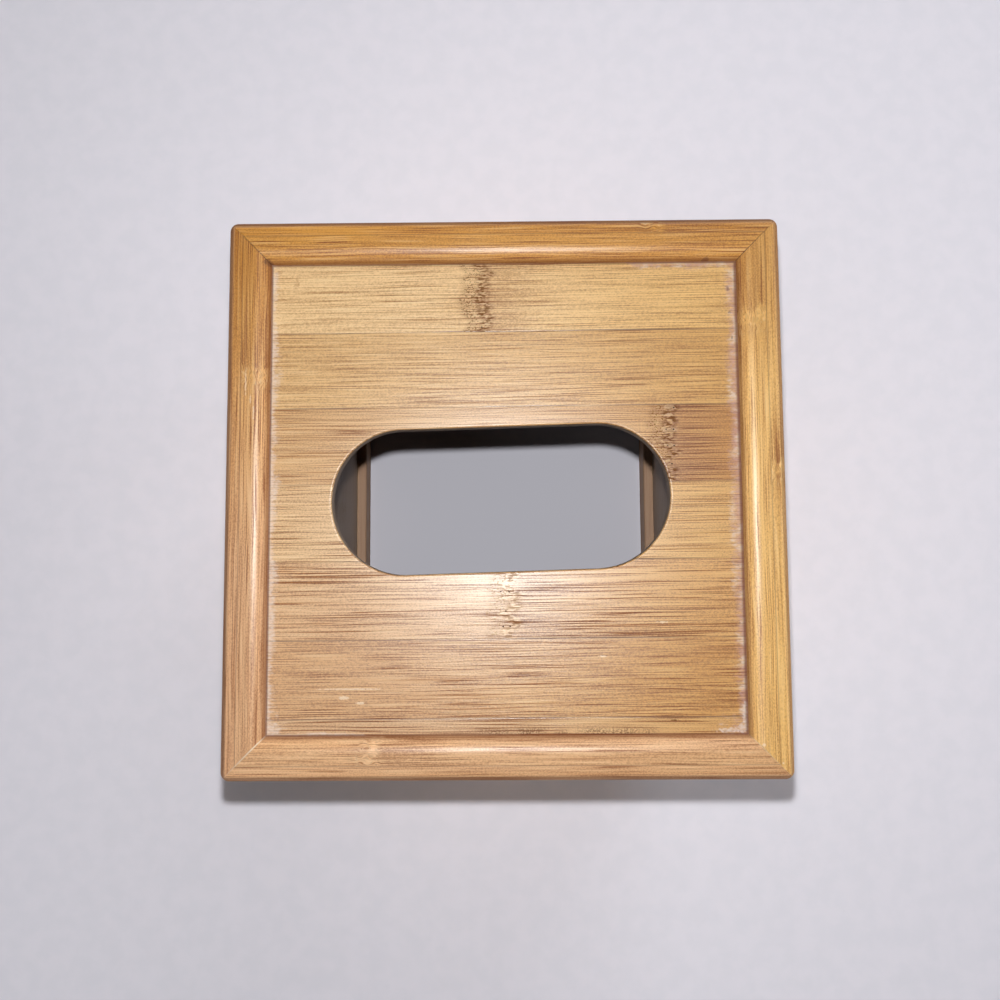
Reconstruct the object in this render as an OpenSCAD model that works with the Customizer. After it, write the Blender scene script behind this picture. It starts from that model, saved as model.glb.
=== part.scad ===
// Tissue box cover in varnished bamboo: a cube of framed panels that is open underneath.
// Twelve square members meet in mitred corners, each framed face holds a panel in grooves,
// and the top panel has a slot with round ends for drawing the tissues.
// The origin is on the table under the middle of the cover, with +Y to the back and +Z up.

/* [Body] */
// Outside width between the left and right faces
body_w = 145; // [125:1:180]
// Outside depth between the front and back faces
body_d = 145; // [125:1:180]
// Outside height from the table to the top of the frame
body_h = 150; // [120:1:200]

/* [Edge members] */
// Width of the square section of every rail and post
member_w = 11; // [10.8:0.1:14]
// Radius of the outer edges and corners
edge_r = 2.4; // [0.8:0.1:3]
// Radius of the rounded shoulder that runs down to a panel
shoulder_r = 4; // [3:0.1:4.8]
// Radius of the eased edges inside the cover and under the bottom rails
ease_r = 0.8; // [0.3:0.1:1.6]

/* [Panels] */
// Thickness of a panel
panel_t = 4; // [3:0.1:4.4]
// How far a panel's face lies below the face of its frame
panel_recess = 3; // [2:0.1:3.6]
// Depth of the groove that holds the edge of a panel
groove_d = 3; // [2:0.1:3.4]
// Clearance between the back of a panel and its groove
panel_fit = 0.1; // [0.05:0.05:0.4]
// Room for swelling between the edge of a panel and the bottom of its groove
panel_gap = 0.3; // [0.1:0.1:0.8]

/* [Slot] */
// Length of the slot over its round ends
slot_l = 88.4; // [60:0.2:100]
// Width of the slot
slot_w = 38; // [20:0.2:56]
// How far the middle of the slot lies to the right of the middle of the panel
slot_x = -1.2; // [-5:0.1:5]
// How far the middle of the slot lies behind the middle of the panel
slot_y = -1.3; // [-5:0.1:5]
// Turn of the slot on the panel, in degrees
slot_turn = 1.6; // [-3:0.1:3]
// Radius of the sanded edges of the slot
slot_edge_r = 0.5; // [0.2:0.1:1.2]

/* [Corner dowels] */
// Diameter of a dowel
dowel_d = 2.5; // [2:0.1:2.7]
// Length of a dowel
dowel_l = 12; // [8:0.5:24]
// How far a dowel reaches past the mitre into the neighbouring member
dowel_bite = 4; // [2:0.1:4.2]
// Distance from a dowel's axis to the outer face that it lies nearer to
dowel_near = 2.6; // [2.2:0.1:2.8]
// Distance from a dowel's axis to the outer face that it lies further from
dowel_far = 5.5; // [5.3:0.1:6.4]
// Clearance round a dowel in its bore
dowel_fit = 0.05; // [0.02:0.01:0.1]
// Glue room at each end of a dowel
dowel_end_gap = 0.3; // [0.1:0.1:0.6]

/* [Hidden] */
$fn = 64;

// Overrun of every cut past the face that it starts from
cut = 1;

member_colour = [0.80, 0.60, 0.36];
panel_colour = [0.87, 0.70, 0.48];
dowel_colour = [0.90, 0.80, 0.62];

// A groove is as wide as the panel and its clearance
groove_w = panel_t + panel_fit;
groove_floor = member_w - groove_d;

// The edge of a panel, measured from the outer faces of the members that hold it
panel_inset = groove_floor + panel_gap;

slot_r = slot_w / 2;
slot_straight = slot_l - slot_w;
bore_r = dowel_d / 2 + dowel_fit;

// Places a bottom piece at the top, a left one at the right, or a front one at the back
module at_top() translate([0, 0, body_h]) mirror([0, 0, 1]) children();
module at_right() mirror([1, 0, 0]) children();
module at_back() mirror([0, 1, 0]) children();

// Turns a piece along X into one along Y or Z, and its outer faces with it
module along_y() rotate(120, [1, 1, 1]) children();
module along_z() rotate(240, [1, 1, 1]) children();

// What rounding to radius r takes off a square corner at the origin
module corner_waste(r) difference() {
  translate([-cut, -cut]) square(r + cut);
  translate([r, r]) circle(r);
}

// What is cut from the side of a member's section at x = member_w, which is open,
// or has a groove for a panel and the shoulder that runs down to it
module side_waste(open) {
  translate([member_w, 0]) rotate(90) corner_waste(open ? ease_r : shoulder_r);
  if (!open)
    translate([groove_floor, panel_recess]) square([groove_d + cut, groove_w]);
}

// Section of a member whose outer faces are on x = 0 and y = 0
module member_section(open_x, open_y) difference() {
  square(member_w);
  corner_waste(edge_r);
  translate([member_w, member_w]) rotate(180) corner_waste(ease_r);
  side_waste(open_x);
  mirror([1, -1]) side_waste(open_y);
}

// Outline that mitres both ends of a member, in the plane of one framed face
module mitre_outline(length) linear_extrude(member_w + 2 * cut) polygon([
  [-length / 2 - cut, -cut],
  [length / 2 + cut, -cut],
  [length / 2 - member_w - cut, member_w + cut],
  [-length / 2 + member_w + cut, member_w + cut]
]);

// Three dowels round a corner at the origin, or their bores. Each lies along one member
// and crosses the mitre into the next, so that they pass like the sticks of a pinwheel.
module corner_dowels(r, end_gap = 0) for (turn = [0, 120, 240]) rotate(turn, [1, 1, 1])
  translate([dowel_far - dowel_bite - end_gap, dowel_far, dowel_near])
    rotate([0, 90, 0]) cylinder(dowel_l + 2 * end_gap, r, r);

// A member along X whose outer faces are on y = 0 and z = 0. Both ends come to a point
// between two mitres, so that three members fill a corner of the cube.
module member(length, open_x = false, open_y = false) difference() {
  intersection() {
    rotate([90, 0, 90]) linear_extrude(length, center = true) member_section(open_x, open_y);
    translate([0, 0, -cut]) mitre_outline(length);
    translate([0, member_w + cut, 0]) rotate([90, 0, 0]) mitre_outline(length);
  }
  for (end = [0, 1])
    mirror([end, 0, 0]) translate([-length / 2, 0, 0]) corner_dowels(bore_r, dowel_end_gap);
}

module bottom_rail_front() color(member_colour)
  translate([0, -body_d / 2, 0]) member(body_w, open_x = true);

module bottom_rail_back() at_back() bottom_rail_front();

module bottom_rail_left() color(member_colour)
  translate([-body_w / 2, 0, 0]) along_y() member(body_d, open_y = true);

module bottom_rail_right() at_right() bottom_rail_left();

module top_rail_front() color(member_colour)
  at_top() translate([0, -body_d / 2, 0]) member(body_w);

module top_rail_back() at_back() top_rail_front();

module top_rail_left() color(member_colour)
  at_top() translate([-body_w / 2, 0, 0]) along_y() member(body_d);

module top_rail_right() at_right() top_rail_left();

module corner_post_front_left() color(member_colour)
  translate([-body_w / 2, -body_d / 2, body_h / 2]) along_z() member(body_h);

module corner_post_front_right() at_right() corner_post_front_left();

module corner_post_back_left() at_back() corner_post_front_left();

module corner_post_back_right() at_right() corner_post_back_left();

// A panel that lies flat with its face up on z = 0, for an opening in a framed face
module panel(face_l, face_w) translate([0, 0, -panel_t]) linear_extrude(panel_t)
  square([face_l - 2 * panel_inset, face_w - 2 * panel_inset], center = true);

// Section of what sanding takes off an edge of the slot, with the slot's wall on x = 0
module slot_edge_section() difference() {
  translate([-cut, -slot_edge_r]) square(slot_edge_r + cut);
  translate([slot_edge_r, -slot_edge_r]) circle(slot_edge_r);
}

// What sanding takes off the edge round the whole slot, in a face on z = 0
module slot_edge_waste() {
  for (end = [-1, 1]) translate([end * slot_straight / 2, 0, 0])
    rotate_extrude() translate([slot_r, 0]) slot_edge_section();
  for (side = [0, 180]) rotate(side) translate([0, slot_r, 0])
    rotate([90, 0, 90]) linear_extrude(slot_straight, center = true) slot_edge_section();
}

module slot_waste() {
  translate([0, 0, -panel_t - cut]) linear_extrude(panel_t + 2 * cut) {
    square([slot_straight, slot_w], center = true);
    for (end = [-1, 1]) translate([end * slot_straight / 2, 0]) circle(slot_r);
  }
  slot_edge_waste();
  translate([0, 0, -panel_t]) mirror([0, 0, 1]) slot_edge_waste();
}

module top_panel() color(panel_colour) translate([0, 0, body_h - panel_recess]) difference() {
  panel(body_w, body_d);
  translate([slot_x, slot_y, 0]) rotate(slot_turn) slot_waste();
}

// A side panel stands behind the front face, or behind another that is turned to the front
module upright_panel(face_w, face_distance) color(panel_colour)
  translate([0, panel_recess - face_distance, body_h / 2])
    rotate([90, 0, 0]) panel(face_w, body_h);

module side_panel_front() upright_panel(body_w, body_d / 2);

module side_panel_back() at_back() side_panel_front();

module side_panel_left() rotate(-90) upright_panel(body_d, body_w / 2);

module side_panel_right() at_right() side_panel_left();

// Three dowels at each of the four corners of the bottom frame
module bottom_corner_dowels() color(dowel_colour)
  for (right = [0, 1], back = [0, 1]) mirror([right, 0, 0]) mirror([0, back, 0])
    translate([-body_w / 2, -body_d / 2, 0]) corner_dowels(dowel_d / 2);

module top_corner_dowels() at_top() bottom_corner_dowels();

top_rail_front();
top_rail_back();
top_rail_left();
top_rail_right();
bottom_rail_front();
bottom_rail_back();
bottom_rail_left();
bottom_rail_right();
corner_post_front_left();
corner_post_front_right();
corner_post_back_left();
corner_post_back_right();
top_panel();
side_panel_front();
side_panel_back();
side_panel_left();
side_panel_right();
top_corner_dowels();
bottom_corner_dowels();
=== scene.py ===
import math

import bmesh
import bpy
from mathutils import Matrix, Vector


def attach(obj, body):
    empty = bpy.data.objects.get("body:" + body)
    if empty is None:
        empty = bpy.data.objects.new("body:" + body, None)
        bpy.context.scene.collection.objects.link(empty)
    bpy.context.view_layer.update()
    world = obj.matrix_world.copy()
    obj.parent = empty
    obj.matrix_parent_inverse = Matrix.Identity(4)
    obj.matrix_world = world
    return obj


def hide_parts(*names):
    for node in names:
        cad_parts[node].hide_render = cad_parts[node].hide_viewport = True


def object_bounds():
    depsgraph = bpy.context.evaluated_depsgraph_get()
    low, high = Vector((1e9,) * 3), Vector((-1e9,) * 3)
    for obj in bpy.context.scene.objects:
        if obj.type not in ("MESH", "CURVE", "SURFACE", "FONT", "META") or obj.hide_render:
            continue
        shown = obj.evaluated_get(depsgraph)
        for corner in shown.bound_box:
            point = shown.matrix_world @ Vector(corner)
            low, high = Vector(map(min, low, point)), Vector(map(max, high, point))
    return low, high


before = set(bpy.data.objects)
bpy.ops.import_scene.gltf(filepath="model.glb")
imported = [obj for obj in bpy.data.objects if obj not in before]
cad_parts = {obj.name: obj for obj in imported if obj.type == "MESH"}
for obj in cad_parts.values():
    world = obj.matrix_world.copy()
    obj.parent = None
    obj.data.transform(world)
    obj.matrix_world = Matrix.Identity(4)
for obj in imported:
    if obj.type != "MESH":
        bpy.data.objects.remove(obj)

# The camera looks straight down on the cover from 19 cm above its top, a little towards the
# front. The whole CAD model gives the size of what it looks at.
mm = 0.001
scene = bpy.context.scene
scene.view_settings.view_transform = "Standard"
cad_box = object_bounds()
half_width = cad_box[1].x / mm
height = cad_box[1].z / mm

phone_lens = bpy.data.cameras.new("phone_lens")
phone_lens.sensor_width = 36
phone_lens.lens = 26.83
phone_lens.clip_start = 0.01
camera = bpy.data.objects.new("camera", phone_lens)
camera.location = Vector((0.09, -14.46, 340.51)) * mm
camera.rotation_euler = [math.radians(turn) for turn in (3.838, 0.428, -0.354)]
scene.collection.objects.link(camera)
scene.camera = camera


# The cover stands on a pale, plain tabletop, which fades into the pale backdrop far away. The
# same few lines of shader maths paint the table and every piece of bamboo after it.
class Field:
    """A socket in a tree of nodes. Python's operators on it add Math nodes to the tree."""

    def __init__(self, tree, socket=None):
        self.tree = tree
        self.socket = socket

    def node(self, kind, sockets, output=0, **settings):
        made = self.tree.nodes.new("ShaderNode" + kind)
        for name, value in settings.items():
            setattr(made, name, value)
        for name, value in sockets.items():
            if isinstance(value, Field):
                self.tree.links.new(value.socket, made.inputs[name])
            else:
                made.inputs[name].default_value = value
        return Field(self.tree, made.outputs[output])

    def maths(self, operation, *values):
        return self.node("Math", dict(enumerate(values)), operation=operation)

    def __add__(self, other):
        return self.maths("ADD", self, other)

    def __radd__(self, other):
        return self.maths("ADD", other, self)

    def __sub__(self, other):
        return self.maths("SUBTRACT", self, other)

    def __rsub__(self, other):
        return self.maths("SUBTRACT", other, self)

    def __mul__(self, other):
        return self.maths("MULTIPLY", self, other)

    def __rmul__(self, other):
        return self.maths("MULTIPLY", other, self)

    def __truediv__(self, other):
        return self.maths("DIVIDE", self, other)

    def __pow__(self, other):
        return self.maths("POWER", self, other)

    def __abs__(self):
        return self.maths("ABSOLUTE", self)

    def floor(self):
        return self.maths("FLOOR", self)

    def fraction(self):
        return self.maths("FRACT", self)

    def wrap(self, period):
        """What is left of this after taking off as many whole periods as fit."""
        return self.maths("FLOORED_MODULO", self, period)

    def least(self, other):
        return self.maths("MINIMUM", self, other)

    def most(self, other):
        return self.maths("MAXIMUM", self, other)

    def equals(self, other):
        return self.maths("COMPARE", self, other, 0.5)

    def rise(self, low, high):
        """0 below low and 1 above high, with a smooth step between. It falls if low is the
        larger one."""
        return self.node("MapRange", {"Value": self, "From Min": low, "From Max": high},
                         interpolation_type="SMOOTHSTEP")

    def mix(self, other, factor, blend="MIX"):
        """This colour changed to another by a factor."""
        return self.node("Mix", {0: factor, 6: self, 7: other}, output=2, data_type="RGBA",
                         blend_type=blend)

    def parts(self):
        """The three coordinates of this place."""
        return [self.node("SeparateXYZ", {"Vector": self}, output=part) for part in range(3)]

    def join(self, second, third):
        """The place that has this number and two others as its coordinates."""
        return self.node("CombineXYZ", {"X": self, "Y": second, "Z": third})

    def along(self, *scales):
        """This place with its coordinates multiplied."""
        return self.node("VectorMath", {0: self, 1: scales}, operation="MULTIPLY")

    def noise(self, detail=0.0):
        return self.node("TexNoise", {"Vector": self, "Scale": 1, "Detail": detail})


def seen(red, green, blue):
    """A colour given as it looks on a screen, from 0 to 255."""
    return tuple(((c / 255 + 0.055) / 1.055) ** 2.4 for c in (red, green, blue)) + (1.0,)


def new_material(name):
    """A material, the field that stands for its tree, its shader's sockets and its place in mm."""
    material = bpy.data.materials.new(name)
    material.use_nodes = True
    tree = material.node_tree
    blank = Field(tree)
    place = blank.node("TexCoord", {}, output=3).along(1 / mm, 1 / mm, 1 / mm)
    return material, blank, tree.nodes["Principled BSDF"].inputs, place


def plug(socket, field):
    field.tree.links.new(field.socket, socket)


def plain(field, colour):
    """One colour in the tree of a field, for others to be mixed with."""
    tint = field.node("RGB", {})
    tint.socket.default_value = colour
    return tint


def seen_directly(field):
    """1 for what the camera sees, also in a reflection or through glass, and 0 for light."""
    camera_ray, glossy_ray, through_ray = (
        field.node("LightPath", {}, output=kind) for kind in (0, 3, 6))
    return camera_ray.most(glossy_ray).most(through_ray)


table_reach = 4000 * mm
fade_from, fade_to = 360, 1500
shade_depth = 15
table_mesh = bpy.data.meshes.new("table")
bm = bmesh.new()
bmesh.ops.create_grid(bm, x_segments=8, y_segments=8, size=table_reach)
bm.to_mesh(table_mesh)
bm.free()
table = bpy.data.objects.new("table", table_mesh)
scene.collection.objects.link(table)

table_paint, blank, shader, place = new_material("table_paint")
mottle = place.along(1 / 9, 1 / 9, 1 / 9).noise(2.0).rise(0.3, 0.7)
reach = place.node("VectorMath", {0: place}, output=1, operation="LENGTH")
faded = reach.rise(fade_from, fade_to) * seen_directly(blank)
paint = plain(blank, seen(214, 211, 218)).mix(seen(218, 214, 221), mottle)
across, up = [abs(part) for part in place.parts()[:2]]
# The table is painted darker under the cover, a painted shade that fades out over the last 15 mm
# inside the cover's edges.
painted_shade_under_cover = across.most(up).rise(half_width, half_width - shade_depth)
paint = paint.mix(seen(188, 186, 193), painted_shade_under_cover)
plug(shader["Base Color"], paint.mix((0, 0, 0, 1), faded))
plug(shader["Emission Color"], plain(blank, (0, 0, 0, 1)).mix((0.80, 0.79, 0.80, 1), faded))
shader["Emission Strength"].default_value = 1.0
shader["Roughness"].default_value = 0.7
shader["Specular IOR Level"].default_value = 0.2
table_mesh.materials.append(table_paint)


# Most of the light comes from the phone's small lamp beside its lens. Soft lamps at the right
# and at the back fill the rest, and a cool one high over the left side shows in the varnish.
flash_strength = 30.0
flash = bpy.data.lights.new("flash", "POINT")
flash.shadow_soft_size = 2.3 * mm
flash.energy = 1.0
flash.color = (0.97, 0.985, 1.0)
flash.use_nodes = True
beam = Field(flash.node_tree)
plug(flash.node_tree.nodes["Emission"].inputs["Strength"],
     beam.node("LightFalloff", {"Strength": flash_strength}, output=2))
flash_lamp = bpy.data.objects.new("flash", flash)
flash_lamp.location = Vector((-0.4, -1.5, 341)) * mm
scene.collection.objects.link(flash_lamp)


def soft_box(name, place_mm, target_mm, side, energy, colour, glossy):
    """A square lamp with its side in mm, which shows in the varnish only if it is glossy."""
    light = bpy.data.lights.new(name, "AREA")
    light.shape = "SQUARE"
    light.size = side * mm
    light.energy = energy
    light.color = colour
    lamp = bpy.data.objects.new(name, light)
    lamp.location = Vector(place_mm) * mm
    aim = Vector(target_mm) - Vector(place_mm)
    lamp.rotation_euler = aim.to_track_quat("-Z", "Y").to_euler()
    lamp.visible_glossy = glossy
    scene.collection.objects.link(lamp)


daylight = (0.97, 0.98, 1.0)
north_light = (0.90, 0.95, 1.0)
soft_box("fill_right", (900, 100, 600), (60, 40, 60), 600, 2.0, daylight, False)
soft_box("fill_back", (350, 900, 700), (60, 40, 60), 600, 4.2, daylight, False)
soft_box("skylight_left", (-700, -520, 1400), (0, 0, height), 900, 2.2, north_light, True)

# The room is bright in a narrow band round the horizon, but only as light. What is seen of it,
# also in the varnish, is a pale backdrop that darkens towards the ceiling.
ceiling_glow, horizon_glow, band_narrowness = 0.03, 22.0, 40.0
ceiling_shown, horizon_shown, backdrop_narrowness = 0.06, 0.74, 2.2
studio = bpy.data.worlds.new("studio")
scene.world = studio
studio.use_nodes = True
air = Field(studio.node_tree)
height_of_view = air.node("TexCoord", {}, output=0).parts()[2]
from_horizon = 1 - abs(height_of_view)
shown = seen_directly(air)
glow = ceiling_glow + horizon_glow * from_horizon ** band_narrowness
backdrop = ceiling_shown + horizon_shown * from_horizon ** backdrop_narrowness
sky = studio.node_tree.nodes["Background"]
sky.inputs["Color"].default_value = (1.0, 0.99, 0.98, 1.0)
plug(sky.inputs["Strength"], glow * (1 - shown) + backdrop * shown)


# Twelve square members make the edges of the cube. Each is a bamboo batten glued from two
# layers, with a rounded outer edge, a round shoulder beside every panel and a groove behind it,
# sawn to two mitres at both ends, glued round its dowels and varnished.
member_width = 11.0
edge_radius = 2.4
shoulder_radius = 4.0
ease_radius = 0.8
panel_recess = 3.0
panel_thickness = 4.0
groove_depth = 3.0
groove_width = 4.1
glue_line = 0.03
layer_seam = 4.15
edge_steps, shoulder_steps, ease_steps = 8, 12, 3
point_rings = (1, 0.85, 0.7, 0.55)

# Points this near to a place or to a cut, in mm, are taken to lie on it
touching, cut_tolerance = 1e-4, 1e-5


def edges_at(bm, y, z):
    """The edges that run along X at one corner of a bar's section."""
    return [edge for edge in bm.edges if all(
        abs(vert.co.y - y) < touching and abs(vert.co.z - z) < touching for vert in edge.verts)]


def round_off(bm, edges, radius, steps):
    bmesh.ops.bevel(bm, geom=edges, offset=radius, offset_type="OFFSET", affect="EDGES",
                    segments=steps, profile=0.5, material=-1)


def slice_at(bm, place, normal, clear=False):
    """Cuts the whole mesh along a plane, and returns the edges of the cut."""
    cut = bmesh.ops.bisect_plane(bm, geom=bm.verts[:] + bm.edges[:] + bm.faces[:],
                                 dist=cut_tolerance, plane_co=place, plane_no=normal,
                                 clear_outer=clear)
    return [item for item in cut["geom_cut"] if isinstance(item, bmesh.types.BMEdge)]


def new_verts(made):
    """The points in what an extrusion has made."""
    return [item for item in made["geom"] if isinstance(item, bmesh.types.BMVert)]


def cut_groove(bm, side):
    """Sinks a panel's groove into a far side of a bar, which is 1 for +Y or 2 for +Z."""
    across = 3 - side
    for depth in (panel_recess, panel_recess + groove_width):
        slice_at(bm, Vector([depth if axis == across else 0 for axis in range(3)]),
                 Vector([axis == across for axis in range(3)]))
    mouth = [face for face in bm.faces
             if panel_recess < face.calc_center_median()[across] < panel_recess + groove_width
             and face.calc_center_median()[side] > member_width - ease_radius]
    sunk = bmesh.ops.extrude_face_region(bm, geom=mouth)
    for vert in new_verts(sunk):
        vert.co[side] = member_width - groove_depth
    bmesh.ops.delete(bm, geom=mouth, context="FACES")


def member(length, open_side):
    """A bar along X with its outer faces on y = 0 and z = 0, and a point at both ends. Its far
    sides are 1 for +Y and 2 for +Z, and the open one, if any, has neither groove nor shoulder."""
    bm = bmesh.new()
    middle = Matrix.Translation((0, member_width / 2, member_width / 2))
    bmesh.ops.create_cube(bm, size=1, matrix=middle @ Matrix.Diagonal(
        (length, member_width, member_width, 1)))
    round_off(bm, edges_at(bm, 0, 0), edge_radius, edge_steps)
    round_off(bm, edges_at(bm, member_width, member_width), ease_radius, ease_steps)
    for side in (1, 2):
        corner = (member_width, 0) if side == 1 else (0, member_width)
        if side == open_side:
            round_off(bm, edges_at(bm, *corner), ease_radius, ease_steps)
        else:
            round_off(bm, edges_at(bm, *corner), shoulder_radius, shoulder_steps)
    for side in (1, 2):
        if side != open_side:
            cut_groove(bm, side)
    for end in (-1, 1):
        outward = Vector((end, 0, 0))
        for ring in point_rings:
            slice_at(bm, outward * (length / 2 - edge_radius * ring), outward)
        for toward in (Vector((0, 1, 0)), Vector((0, 0, 1))):
            sawn = slice_at(bm, outward * (length / 2 - glue_line), outward + toward, clear=True)
            bmesh.ops.edgeloop_fill(bm, edges=sawn)
        # The point of the bar is a part of the ball that rounds off the corner of the cube
        ball = Vector((end * (length / 2 - edge_radius), edge_radius, edge_radius))
        for vert in bm.verts:
            out = vert.co - ball
            at_point = (out.x * end >= -cut_tolerance and out.y <= cut_tolerance
                        and out.z <= cut_tolerance)
            if at_point and out.length > edge_radius:
                vert.co = ball + out.normalized() * edge_radius
    return bm


def finish_piece(bm, name, matrix, material, node):
    """Puts a mesh in mm in its place, and makes it the piece that stands for a CAD node."""
    bmesh.ops.transform(bm, matrix=Matrix.Scale(mm, 4) @ matrix, verts=bm.verts[:])
    bmesh.ops.recalc_face_normals(bm, faces=bm.faces[:])
    mesh = bpy.data.meshes.new(name)
    bm.to_mesh(mesh)
    bm.free()
    mesh.shade_smooth()
    mesh.set_sharp_from_angle(angle=math.radians(40))
    mesh.materials.append(material)
    piece = bpy.data.objects.new(name, mesh)
    scene.collection.objects.link(piece)
    shading = piece.modifiers.new("flat faces stay flat", "WEIGHTED_NORMAL")
    shading.keep_sharp = True
    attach(piece, "root")
    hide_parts(node)


def streaks(along_grain, across_grain, long, wide, share):
    """Slim streaks that taper to both ends, in some share of the places that could hold one."""
    radius = 0.3
    softness = 0.25
    place = (along_grain * (2 * radius / long)).join(across_grain * (2 * radius / wide), 0.0)
    near = place.node("TexVoronoi", {"Vector": place, "Scale": 1}, voronoi_dimensions="2D")
    colour = Field(near.tree, near.socket.node.outputs["Color"])
    chance = colour.node("SeparateColor", {"Color": colour})
    drawn = chance.rise(1 - share, 1 - share + softness)
    return near.rise(radius, radius * 0.3) * drawn


def cane(u, v, w, shift, knot, bold, curl, scarred):
    """Bamboo at a place given along the grain (u) and across it (v, w), in mm, and moved by
    `shift` to a cane of its own. A joint of the cane runs across it at u = knot, pale where
    `scarred` is 0 and full of dark flecks where it is 1. The grain is `bold` from 0 to 1, and
    bends by up to `curl` mm at the joint. Gives how light the wood is, how much of a dark line,
    of a dark speck and of a pale fleck lies there, and how high the surface stands."""
    start = u.join(v, w)
    ragged = start.along(1 / 30, 1 / 2.5, 1 / 2.5).noise() - 0.5
    off = u - knot + ragged * 6
    near = abs(off).rise(5, 0.5)
    swirl = start.along(1 / 2.4, 1 / 1.3, 1 / 1.3).noise() - 0.5
    bent = near * swirl * curl
    place = (u + shift).join(v + bent, w + shift)

    # The grain, from the broad bands of a cane down to its single fibres
    band = place.along(1 / 90, 1 / 5, 1 / 5).noise() - 0.5
    bundle = place.along(1 / 30, 1 / 0.9, 1 / 0.9).noise() - 0.5
    fibre = place.along(1 / 18, 1 / 0.24, 1 / 0.24).noise() - 0.5
    ridge = place.along(1 / 5, 1 / 0.2, 1 / 0.2).noise() - 0.5
    grit = place.along(1 / 0.5, 1 / 0.34, 1 / 0.34).noise(1.0) - 0.5
    light = (band * 0.2 + bundle * 0.3 + fibre * 0.7 + grit * 0.9) * (0.5 + bold * 0.7)

    # Dark lines lie in clumps, and most of them just after a joint
    clump = place.along(1 / 40, 1 / 5, 1 / 5).noise().rise(0.38, 0.62)
    after = off.rise(0.5, 3.0) * off.rise(24.0, 6.0)
    dashes = fibre.rise(-0.1, -0.2) * (0.45 + 0.55 * clump.most(after).most(near))
    lines = streaks(u + shift, v + w + bent, long=46, wide=0.34, share=0.5)
    dark = dashes.most(lines) * bold

    # The joint has a gritty collar on one side and a flecked scar on the other
    collar = off.rise(-5.5, -3.5) * off.rise(0.5, -1.0)
    scar = off.rise(-1.2, 0.3) * off.rise(3.8, 1.6)
    flecks = place.along(1 / 1.5, 1 / 0.5, 1 / 0.5).noise(1.0)
    specks = (flecks.rise(0.48, 0.55) * scar).most(grit.rise(0.03, 0.12) * collar)
    specks = specks * (0.35 + scarred * 0.65)
    pale = fibre.rise(0.1, 0.2) * 0.5
    pale = pale.most(flecks.rise(0.42, 0.32) * near)
    high = ridge * 0.9 + bundle * 0.15 + grit * 0.8
    light = light - after * 0.2 - collar * (0.1 * scarred) + scar * (0.4 - scarred * 0.7)
    return light, dark, specks, pale, high - specks * 0.2


def paint_cane(wood, light, dark, specks, pale):
    """A bamboo's own colour, which is that of its palest fibres, with its grain in it."""
    wood = wood.mix((0.45, 0.30, 0.15, 1), light.rise(0.3, -0.6), "MULTIPLY")
    wood = wood.mix((0.52, 0.34, 0.14, 1), dark, "MULTIPLY")
    wood = wood.mix(seen(104, 62, 26), specks * 0.75)
    return wood.mix(seen(248, 222, 176), pale * 0.5)


def marks(x, y, spots):
    """Small uneven marks, each given by its middle, half length and half width in mm."""
    nearest = None
    for across, up, half_long, half_wide in spots:
        off = ((x - across) / half_long).join((y - up) / half_wide, 0.0)
        away = off.node("VectorMath", {0: off}, output=1, operation="LENGTH")
        nearest = away if nearest is None else nearest.least(away)
    crumbs = (x / 0.7).join(y / 0.7, 0.0).noise(1.0)
    return (nearest + (crumbs - 0.5) * 1.4).rise(1.0, 0.5)


def varnish(shader, wood, high, roughness, depth, gloss):
    """A coat of semi-gloss varnish that follows the fibres, `depth` mm deep."""
    plug(shader["Base Color"], wood)
    plug(shader["Roughness"], roughness)
    plug(shader["Normal"], high.node("Bump", {"Height": high, "Strength": 1.0,
                                              "Distance": depth * mm}))
    shader["IOR"].default_value = 1.55
    shader["Specular IOR Level"].default_value = gloss


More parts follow.
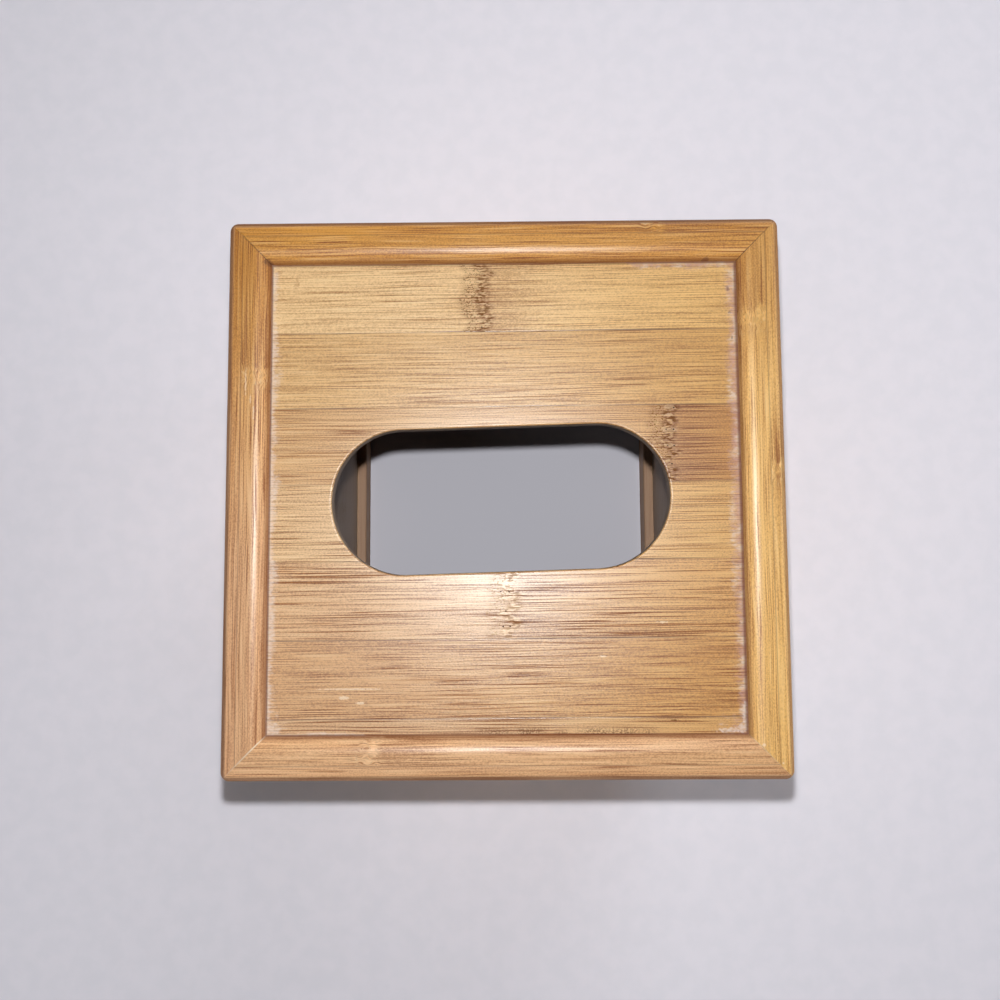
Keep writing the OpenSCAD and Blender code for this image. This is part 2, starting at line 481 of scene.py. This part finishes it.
def member_bamboo(name, axis, seed, knots, tone):
    """Varnished bamboo for a member along an axis, with a joint of the cane in each layer. Its
    tone goes from 0, a deep orange, to 1, a pale gold."""
    material, blank, shader, place = new_material(name)
    x, y, z = place.parts()
    from_faces = [half_width - abs(x), half_width - abs(y), height / 2 - abs(z - height / 2)]
    u, ends = (x, y, z)[axis], from_faces[axis]
    layered, other = (from_faces[side] for side in range(3) if side != axis)

    # The layer at one of the two outer faces and the one inside it are of different canes, with
    # a line of glue between them
    inner = layered.rise(layer_seam - 0.04, layer_seam + 0.04)
    wander = (u / 40).join(layered / 14, other / 14).noise(1.0) - 0.5
    light, dark, specks, pale, high = cane(
        u, layered + wander * 1.4, other, shift=inner * 61 + seed * 173.0,
        knot=inner * (knots[0] - knots[1]) + knots[1], bold=0.85 - tone * 0.25, curl=2.0,
        scarred=0.0)
    drift = (u / 55).join(layered / 6, other / 6).noise() - 0.5
    wood = plain(blank, seen(210, 147, 60)).mix(seen(240, 190, 112), tone + inner * 0.15)
    # The top front and left rails are painted paler and pinker towards the front, a painted sheen.
    if name.startswith(("rail_top_front", "rail_top_left")):
        wood = wood.mix(seen(208, 168, 164), y.rise(70, -30) * 0.32)
    wood = paint_cane(wood, light + drift * 0.2, dark, specks, pale * 0.7)
    seam = abs(layered - layer_seam).rise(0.22, 0.05)
    wood = wood.mix(seen(110, 68, 30), seam * 0.4)

    # The mitres are dark with glue. On top, the ones at the front have a pale filler, and the
    # rails have scratches and stains of their own.
    mitre = abs(ends - layered).least(abs(ends - other)).rise(0.22, 0.05)
    if name.startswith("rail_top"):
        at_front = y.rise(0.5, -0.5)
        wood = wood.mix(seen(74, 42, 20),
                        mitre * (0.75 - at_front * 0.6) * layered.rise(1.0, 9.5))
        filler = abs(ends - layered).rise(0.36, 0.1) * at_front * layered.rise(0.5, 9.0)
        wood = wood.mix(seen(236, 214, 186), filler * x.rise(0.5, -0.5) * 0.9)
        wood = wood.mix(seen(232, 200, 154), filler * x.rise(-0.5, 0.5) * 0.5)
        wood = wood.mix(seen(244, 220, 190), 0.5 * marks(x, y, (
            (64.5, -63.6, 0.5, 0.5), (69.1, -68.0, 0.35, 0.35), (-67.1, 29.5, 0.25, 4.2),
            (-65.8, 25.0, 0.22, 1.5), (-65.0, 21.5, 0.22, 2.4))))
        wood = wood.mix(seen(88, 48, 30), 0.6 * marks(x, y, (
            (-62.2, 61.8, 1.3, 1.0), (-61.6, 27.6, 0.35, 0.5), (61.2, 47.6, 0.7, 1.2),
            (53.4, 61.8, 1.3, 0.6))))
        # The left and right top rails are painted darker towards the back, a painted shade where
        # the lamp's light falls off.
        if axis == 1:
            wood = wood.mix((0.74, 0.62, 0.44, 1), y.rise(20, 72), "MULTIPLY")
        painted_shade_rim = layered.rise(1.95, 1.15) * other.rise(3.6, 1.8)
    else:
        wood = wood.mix(seen(84, 50, 26), mitre * 0.5)
        painted_shade_rim = (layered + other).rise(1.9, 1.35) * 0.5

    # The outer edge is painted darker, a painted shade where the rounding turns away from the
    # lamp. The foot of the shoulder is painted darker, partly varnish gathered there and partly a
    # painted shade in the crease beside the panel. The sides that face the carton are bare
    wood = wood.mix(seen(88, 48, 18), painted_shade_rim * (0.8 - tone * 0.2))
    varnish_and_shade_foot = ((layered - member_width + 1.2) / 2).least(1.2 - abs(other - panel_recess + 0.6))
    varnish_and_shade_foot = varnish_and_shade_foot.rise(0.0, 0.5)
    wood = wood.mix(seen(110, 54, 16), varnish_and_shade_foot * 0.6)
    hidden = (layered if name.startswith("rail_bottom") else layered.least(other)).rise(6.9, 7.3)
    wood = wood.mix(seen(134, 102, 78), hidden * 0.9)
    rough = 0.42 + dark * 0.25 + hidden * 0.2 + varnish_and_shade_foot.most(painted_shade_rim) * 0.5
    varnish(shader, wood, high - seam * 0.2, rough, depth=0.035, gloss=0.6)
    plug(shader["Coat Weight"], (1 - hidden.most(varnish_and_shade_foot).most(painted_shade_rim)) * (0.7 - dark * 0.5))
    shader["Coat Roughness"].default_value = 0.38
    return material


cube_diagonal = Vector((1, 1, 1))
along_y = Matrix.Rotation(math.radians(120), 4, cube_diagonal)
along_z = Matrix.Rotation(math.radians(240), 4, cube_diagonal)
at_right = Matrix.Diagonal((-1, 1, 1, 1))
at_back = Matrix.Diagonal((1, -1, 1, 1))
at_top = Matrix.Translation((0, 0, height)) @ Matrix.Diagonal((1, 1, -1, 1))
front_edge = Matrix.Translation((0, -half_width, 0))
left_edge = Matrix.Translation((-half_width, 0, 0)) @ along_y
upright_edge = Matrix.Translation((-half_width, -half_width, height / 2)) @ along_z

# Each row gives a piece, its CAD node, its axis, its open side, its place, where the joints of
# the cane lie in its inner and its outer layer, and its tone
members = (
    ("rail_top_front", "top_rail_front", 0, 0, at_top @ front_edge, (-34.6, 190), 0.55),
    ("rail_top_back", "top_rail_back", 0, 0, at_top @ at_back @ front_edge, (-150, 38.8), 0.0),
    ("rail_top_left", "top_rail_left", 1, 0, at_top @ left_edge, (30.7, -150), 0.25),
    ("rail_top_right", "top_rail_right", 1, 0, at_top @ at_right @ left_edge, (45.6, 5.2), 1.0),
    ("rail_bottom_front", "bottom_rail_front", 0, 1, front_edge, (22, -41), 0.4),
    ("rail_bottom_back", "bottom_rail_back", 0, 1, at_back @ front_edge, (-48, 17), 0.6),
    ("rail_bottom_left", "bottom_rail_left", 1, 2, left_edge, (150, 33), 0.3),
    ("rail_bottom_right", "bottom_rail_right", 1, 2, at_right @ left_edge, (-12, -150), 0.5),
    ("post_front_left", "corner_post_front_left", 2, 0, upright_edge, (38, 104), 0.5),
    ("post_front_right", "corner_post_front_right", 2, 0,
     at_right @ upright_edge, (121, 66), 0.25),
    ("post_back_left", "corner_post_back_left", 2, 0, at_back @ upright_edge, (83, 20), 0.65),
    ("post_back_right", "corner_post_back_right", 2, 0,
     at_right @ at_back @ upright_edge, (57, 131), 0.35),
)
for seed, (name, node, axis, open_side, matrix, knots, tone) in enumerate(members):
    bar = member(height if axis == 2 else 2 * half_width, open_side)
    finish_piece(bar, name, matrix, member_bamboo(name + "_bamboo", axis, seed, knots, tone),
                 node)


# The top panel is a board of bamboo strips, glued edge to edge and laid in the grooves of the
# top rails. Its slot was routed by hand with round ends, a little off the middle, and sanded.
swelling_room = 0.3
panel_inset = member_width - groove_depth + swelling_room
panel_half = half_width - panel_inset
panel_face = height - panel_recess
panel_opening = half_width - member_width
slot_length = 88.4
slot_width = 38.0
slot_points = 96
slot_place = (-1.2, -1.3, 0)
slot_turn = 1.6
slot_waver = 0.3
slot_edge_radius = 0.5
slot_edge_steps = 4
strip_width = 20.1
lid_joint = 43.2
lid_tilt = 0.3


def score(bm, across, joint, axis, level, inward):
    """Sinks a fine line into the face at one level along an axis, at every joint of strips."""
    half_line, line_depth = 0.14, 0.07
    reach = max(vert.co @ across for vert in bm.verts)
    middle = joint - math.floor((joint + reach) / strip_width) * strip_width
    while middle < reach:
        for offset in (-half_line, 0, half_line):
            slice_at(bm, across * (middle + offset), across)
        for vert in bm.verts:
            in_line = abs(vert.co @ across - middle) < touching
            if in_line and abs(vert.co[axis] - level) < touching:
                vert.co[axis] += inward * line_depth
        middle += strip_width


lid = bmesh.new()
half_step = Matrix.Rotation(math.pi / slot_points, 4, "Z")
bmesh.ops.create_circle(lid, radius=slot_width / 2, segments=slot_points, matrix=half_step)
for vert in lid.verts:
    vert.co.x += math.copysign((slot_length - slot_width) / 2, vert.co.x)
    bearing = math.atan2(vert.co.y, vert.co.x)
    vert.co += vert.co.normalized() * slot_waver * math.sin(3 * bearing + 0.6)
bmesh.ops.transform(lid, verts=lid.verts[:], matrix=Matrix.Translation(slot_place)
                    @ Matrix.Rotation(math.radians(slot_turn), 4, "Z"))

# The board's face spreads from the slot to well past its edges, where it is then sawn off
spread = bmesh.ops.extrude_edge_only(lid, edges=lid.edges[:])
bmesh.ops.scale(lid, vec=(3, 5, 1), verts=new_verts(spread))
for way in (Vector((1, 0, 0)), Vector((-1, 0, 0)), Vector((0, 1, 0)), Vector((0, -1, 0))):
    slice_at(lid, way * panel_half, way, clear=True)
sunk = bmesh.ops.extrude_face_region(lid, geom=lid.faces[:])
bmesh.ops.translate(lid, vec=(0, 0, -panel_thickness), verts=new_verts(sunk))
bmesh.ops.recalc_face_normals(lid, faces=lid.faces[:])

# The rims of the slot are the sharp, level edges that lie away from the board's own edges
sharp_angle = 1.0
rims = [edge for edge in lid.edges if edge.calc_face_angle() > sharp_angle
        and abs(edge.verts[0].co.z - edge.verts[1].co.z) < touching
        and max(abs(edge.verts[0].co.x), abs(edge.verts[0].co.y)) < panel_half - 1]
round_off(lid, rims, slot_edge_radius, slot_edge_steps)
across_strips = Matrix.Rotation(math.radians(lid_tilt), 3, "Z") @ Vector((0, 1, 0))
score(lid, across_strips, lid_joint, 2, 0, -1)

strip_tones = (seen(246, 206, 148), seen(228, 182, 118), seen(222, 174, 114),
               seen(233, 190, 134), seen(228, 181, 126), seen(221, 171, 112),
               seen(220, 175, 122))
bare_inside = seen(136, 118, 106)


def strip_board(name, u_axis, v_axis, seed, joint, tilt, known_knots=None):
    """Bamboo strips along one axis of the cover, side by side along another, before the varnish.
    They are counted from `joint`. Where `known_knots` is given, it has for each strip that shows
    a joint of the cane where that lies along the strip and how scarred it is."""
    material, blank, shader, place = new_material(name)
    parts = place.parts()
    w = parts[3 - u_axis - v_axis]
    turn = math.radians(tilt)
    u = parts[u_axis] * math.cos(turn) + parts[v_axis] * math.sin(turn)
    v = parts[v_axis] * math.cos(turn) - parts[u_axis] * math.sin(turn)
    strips = (v - joint) / strip_width
    strip = strips.floor()
    chance = blank.node("TexWhiteNoise", {"W": strip + seed * 31.7}, noise_dimensions="1D")
    if known_knots:
        off_the_board = 1000.0
        knot, scarred = off_the_board, 1.0
        for number, (where, how_scarred) in known_knots.items():
            knot = knot + strip.equals(number) * (where - off_the_board)
            scarred = scarred - strip.equals(number) * (1 - how_scarred)
    else:
        knot, scarred = (chance - 0.5) * 190, 0.45

    # The strips lean a little, differ in tone, and have a bolder grain the further they lie
    # towards the front or the foot
    lean = (chance * 7.3).fraction() - 0.5
    wander = (u / 60).join(v / 12, w / 12).noise(1.0) - 0.5
    bold = v.rise(joint + 5, joint - 60) * 0.35 + 0.65
    light, dark, specks, pale, high = cane(
        u, v + wander * 1.2 + u * lean * 0.014, w + strip * 5, shift=chance * 400, knot=knot,
        bold=bold, curl=0.5, scarred=scarred)
    order = (seed * 3 - strip).wrap(len(strip_tones))
    wood = plain(blank, strip_tones[-1])
    for number, tone in enumerate(strip_tones[:-1]):
        wood = wood.mix(tone, order.equals(number))
    wood = paint_cane(wood, light, dark, specks, pale)
    seam = (0.5 - abs(strips - strip - 0.5)).rise(0.016, 0.004)
    strong = (u / 26).join(strip * 9, w / 26).noise(1.0).rise(0.42, 0.62)
    wood = wood.mix(seen(106, 66, 36), seam * (0.2 + 0.6 * strong))
    return material, shader, parts, wood, dark, specks, high


def seal_board(material, shader, wood, dark, matt, high, hidden, inside):
    """Varnish over the strips, but not on the hidden side, nor where dirt has made it matt."""
    wood = wood.mix(inside, hidden * 0.92)
    rough = 0.40 + (dark + hidden) * 0.2 + matt * 0.4
    varnish(shader, wood, high, rough, depth=0.06, gloss=0.5)
    plug(shader["Coat Weight"], (1 - hidden.most(matt)) * (1 - dark * 0.85))
    shader["Coat Roughness"].default_value = 0.39
    shader["Coat IOR"].default_value = 1.9
    return material


# Three strips show a joint of the cane. They are numbered 0 at the back, -1 in front of it, and
# so on. The board is of a deeper gold at the right and past one joint, and greyer at the front
# left.
material, shader, (x, y, z), wood, dark, specks, high = strip_board(
    "lid_bamboo", 0, 1, 0, lid_joint, lid_tilt,
    {0: (-5.9, 1.0), -2: (42.3, 1.0), -4: (0.0, 0.4)})
from_left, from_right = x + panel_opening, panel_opening - x
from_front, from_back = y + panel_opening, panel_opening - y
wood = wood.mix((0.93, 0.83, 0.56, 1), x.rise(-30, 60), "MULTIPLY")
wood = wood.mix((0.95, 0.91, 0.89, 1), y.rise(-16, -34) * x.rise(5, -30), "MULTIPLY")
past_joint = x.rise(40, 48) * y.rise(2.6, 3.6) * y.rise(23.5, 22.6)
wood = wood.mix((0.95, 0.87, 0.74, 1), past_joint, "MULTIPLY")

# The open pores of the joints have pale fibres round them, and there are scratches and spots
wood = wood.mix(seen(236, 200, 156), 0.4 * marks(x, y, (
    (43.4, 22.6, 2.2, 0.7), (42.6, 20.6, 1.5, 0.5), (43.0, 16.6, 2.6, 0.9),
    (43.2, 12.6, 2.2, 0.7))))
wood = wood.mix(seen(246, 218, 182), 0.7 * marks(x, y, (
    (-40.2, -49.8, 9.8, 0.24), (-41.6, -52.0, 1.9, 0.5), (-37.4, -53.3, 1.3, 0.4),
    (40.3, -33.2, 1.6, 0.35), (24.7, -41.8, 1.2, 0.3))))
pores = marks(x, y, [(across, up, 0.26, 0.24) for across, up in (
    (44.4, 22.5), (42.3, 16.7), (44.2, 16.8), (42.6, 12.5), (44.3, 12.5), (43.6, 7.7),
    (-1.2, -25.2), (0.9, -25.2), (0.0, -30.2), (-0.7, -34.1), (1.1, -34.1), (-5.8, 44.4))])
wood = wood.mix(seen(58, 32, 18), pores)
spots = marks(x, y, ((59.3, 54.2, 0.6, 0.9), (59.7, 47.8, 0.5, 0.4), (60.1, 41.0, 0.3, 0.8),
                     (42.8, -57.9, 1.6, 0.25)))
wood = wood.mix(seen(84, 44, 22), spots * 0.7)

# A dried, whitish film of varnish and dust lies along the frame. Along the joint the board is
# painted darker, partly dirt and partly a painted shade in the crevice
fringe = (x / 1.8).join(y / 0.6, z).noise(1.0) - 0.5
patch = (x / 7).join(y / 9, z).noise(2.0) - 0.5
crumb = (x / 1.1).join(y / 0.6, z).noise(1.0)
corner_left = (from_left * from_left + from_front * from_front) ** 0.5
corner_right = (from_right * from_right + from_front * from_front) ** 0.5
film = (from_left / 2.5).least(from_right / 3.4)
film = film.least(from_front / 0.9 + x.rise(-40, -24) * 2)
film = film.least(from_back / 2.2 + x.rise(36, 26) * 2)
film = film.least(corner_left / 6.5).least(corner_right / 8.0)
film = (film + fringe * 1.4 + patch * (2.4 - x.rise(0, 50) * 1.2)).rise(0.95, 0.2)
haze = plain(wood, seen(230, 210, 194)).mix(
    seen(196, 154, 146), (x / 3).join(y / 3, z).noise().rise(0.3, 0.55) * x.rise(-40, 40))
wood = wood.mix(haze, film * (0.42 + crumb.rise(0.4, 0.6) * 0.3))
crust = marks(x, y, ((60.8, -57.0, 0.8, 4.2), (57.3, -60.5, 4.6, 0.7), (60.2, -60.0, 1.6, 1.4)))
wood = wood.mix(seen(232, 216, 206), crust * (0.3 + crumb.rise(0.35, 0.6) * 0.35))
stain = from_front.rise(2.6, 0.8) * x.rise(-14, -9) * x.rise(42, 34) * patch.rise(-0.2, 0.1)
stain = stain * (x / 0.5).join(y / 0.4, z).noise(2.0).rise(0.36, 0.6)
wood = wood.mix(seen(98, 64, 46), stain * 0.75)
smudge = marks(x, y, ((-54.9, 56.2, 0.9, 2.0), (-59.6, 59.6, 1.4, 0.7)))
smudge = smudge * crumb.rise(0.3, 0.55)
wood = wood.mix(seen(144, 96, 76), smudge * 0.3)
# The board's edges beside the frame are painted darker, partly dirt and partly a painted shade in
# the crevice.
dirt_and_shade_crevice = from_left.least(from_front).least(from_back).least(from_right * 0.6).rise(0.55, 0.1)
wood = wood.mix(seen(112, 62, 36), dirt_and_shade_crevice * 0.8)
matt = specks.most(pores).most(spots).most(stain).most(smudge).most(dirt_and_shade_crevice).most(film * 0.5)

# The wall of the slot and the underside are bare
hidden = z.rise(panel_face - 0.4, panel_face - 0.8)
finish_piece(lid, "lid_board", Matrix.Translation((0, 0, panel_face)),
             seal_board(material, shader, wood, dark, matt, high - pores, hidden, bare_inside),
             "top_panel")


# Four side panels of the same glued strips, laid level, stand in the grooves between the posts and
# rails. They are varnished on the outside only, and the insides of the front and the back one are
# painted nearly black, a painted shade.
board_edge_radius = 0.3
board_edge_steps = 2
lowest_joint = 8.0
joint_stagger = 3.0
side_boards = (
    ("side_board_front", "side_panel_front", 1, -1),
    ("side_board_back", "side_panel_back", 1, 1),
    ("side_board_left", "side_panel_left", 0, -1),
    ("side_board_right", "side_panel_right", 0, 1),
)
for seed, (name, node, axis, side) in enumerate(side_boards):
    board = bmesh.new()
    size = [2 * panel_half, 2 * panel_half, height - 2 * panel_inset]
    size[axis] = panel_thickness
    face = half_width - panel_recess
    middle = Vector((0, 0, height / 2))
    middle[axis] = side * face - side * panel_thickness / 2
    bmesh.ops.create_cube(board, size=1)
    bmesh.ops.scale(board, vec=size, verts=board.verts[:])
    bmesh.ops.translate(board, vec=middle, verts=board.verts[:])
    round_off(board, board.edges[:], board_edge_radius, board_edge_steps)
    joint = lowest_joint + joint_stagger * seed
    score(board, Vector((0, 0, 1)), joint, axis, side * face, -side)
    material, shader, parts, wood, dark, specks, high = strip_board(
        name + "_bamboo", 1 - axis, 2, seed + 1, joint, 0.0)
    hidden = (parts[axis] * side).rise(face - 0.9, face - 1.5)
    # The insides of the front and back boards are painted nearly black, a painted shade.
    inside = seen(26, 18, 14) if axis == 1 else bare_inside
    finish_piece(board, name, Matrix.Identity(4),
                 seal_board(material, shader, wood, dark, specks, high, hidden, inside),
                 node)


# Birch dowels pin the mitres, three to a corner, and pass each other like the sticks of a
# pinwheel. They are glued in and out of sight, so they keep their CAD shape and get bare wood.
dowel_wood, blank, shader, place = new_material("dowel_birch")
grain = place.along(1 / 0.5, 1 / 0.5, 1 / 6).noise(2.0)
birch = plain(blank, seen(226, 205, 168)).mix(seen(196, 166, 122), grain.rise(0.4, 0.7))
plug(shader["Base Color"], birch)
plug(shader["Roughness"], 0.5 + grain * 0.3)
for node in ("top_corner_dowels", "bottom_corner_dowels"):
    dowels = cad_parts[node].data
    dowels.materials.clear()
    dowels.materials.append(dowel_wood)
